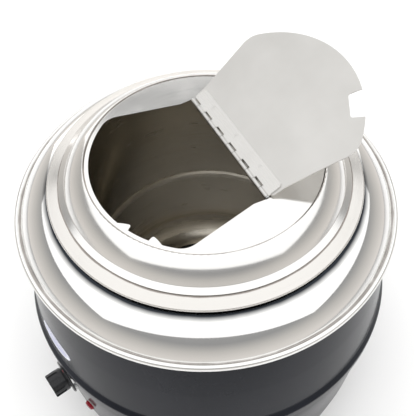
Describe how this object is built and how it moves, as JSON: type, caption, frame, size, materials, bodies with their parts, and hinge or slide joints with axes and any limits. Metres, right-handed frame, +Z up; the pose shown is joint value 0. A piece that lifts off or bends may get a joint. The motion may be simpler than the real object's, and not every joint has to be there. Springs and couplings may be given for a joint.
{
  "type": "soup kettle",
  "caption": "Electric soup kettle: round painted body, polished ring, lift-out pot, lid with a hinged serving flap and ladle notch, front control knob and pilot lamp.",
  "frame": {"origin": "on the kettle's vertical axis, at the underside of the feet", "axes": "+Z up; -Y is the front with the control knob, +Y the back with the cable gland"},
  "size_m": [0.3577, 0.391, 0.3628],
  "materials": {
    "body_paint": "gloss",
    "polished_steel": "polished",
    "brushed_steel": "brushed",
    "pot_steel": "brushed",
    "flap_steel": "satin",
    "zinc_steel": "zinc plated",
    "base_steel": "satin",
    "heater_aluminium": "cast",
    "element_steel": "oxidised",
    "copper": "drawn",
    "rubber": "matt",
    "black_plastic": "satin",
    "dark_plastic": "matt",
    "phenolic": "matt",
    "white_plastic": "matt",
    "red_lens": "gloss",
    "red_mark": "matt",
    "badge_film": "gloss",
    "insulation": "fibrous",
    "wire_brown": "satin",
    "wire_blue": "satin",
    "wire_green": "satin"
  },
  "bodies": {
    "kettle": {"badge": "badge_film", "base_plate": "base_steel", "base_screws": "zinc_steel", "bracket_screws": "zinc_steel", "bulb_clip": "zinc_steel", "cable_gland": "dark_plastic", "capillary_tube": "copper", "clamp_nut": "zinc_steel", "clamp_stud": "zinc_steel", "earth_nut": "zinc_steel", "earth_stud": "zinc_steel", "earth_wire": "wire_green", "element_clamp": "zinc_steel", "foot_1": "rubber", "foot_2": "rubber", "foot_3": "rubber", "foot_4": "rubber", "foot_nuts": "zinc_steel", "foot_screws": "zinc_steel", "gland_cap": "dark_plastic", "gland_locknut": "dark_plastic", "gland_seal": "rubber", "heat_spreader": "heater_aluminium", "heating_element": "element_steel", "insulation_sleeve": "insulation", "lamp_barrel": "white_plastic", "lamp_lens": "red_lens", "lamp_nut": "dark_plastic", "live_wire": "wire_brown", "lower_shell": "body_paint", "neutral_wire": "wire_blue", "overheat_cutout": "phenolic", "protected_wire": "wire_brown", "rim_ring": "polished_steel", "sensing_bulb": "copper", "switched_wire": "wire_brown", "terminal_block": "white_plastic", "terminal_screws": "zinc_steel", "thermostat_body": "phenolic", "thermostat_bracket": "zinc_steel", "upper_shell": "body_paint", "water_bath": "brushed_steel"},
    "control": {"thermostat_shaft": "zinc_steel", "dial_skirt": "black_plastic", "pointer_mark": "red_mark", "control_knob": "black_plastic"},
    "pot": {"soup_pot": "pot_steel"},
    "lid": {"lid_cover": "brushed_steel", "lid_skirt": "brushed_steel", "hinge_leaf_lid": "flap_steel", "hinge_pin": "zinc_steel", "knob_washer": "zinc_steel", "lid_knob": "black_plastic", "lid_knob_screw": "zinc_steel"},
    "flap": {"lid_flap": "flap_steel", "hinge_leaf_flap": "flap_steel"}
  },
  "joints": [
    {"name": "control_turn", "type": "hinge", "parent": "kettle", "child": "control", "pos_m": [0, -0.18, 0.105], "axis": [0, 1, 0], "range_deg": [0, 300]},
    {"name": "pot_lift", "type": "slide", "parent": "kettle", "child": "pot", "axis": [0, 0, 1], "range_m": [0, 0.26]},
    {"name": "lid_lift", "type": "slide", "parent": "pot", "child": "lid", "axis": [0, 0, 1], "range_m": [0, 0.12]},
    {"name": "flap_swing", "type": "hinge", "parent": "lid", "child": "flap", "pos_m": [0.00387, 0.02196, 0.3083], "axis": [0.9848, -0.1736, 0], "range_deg": [0, 153]}
  ]
}
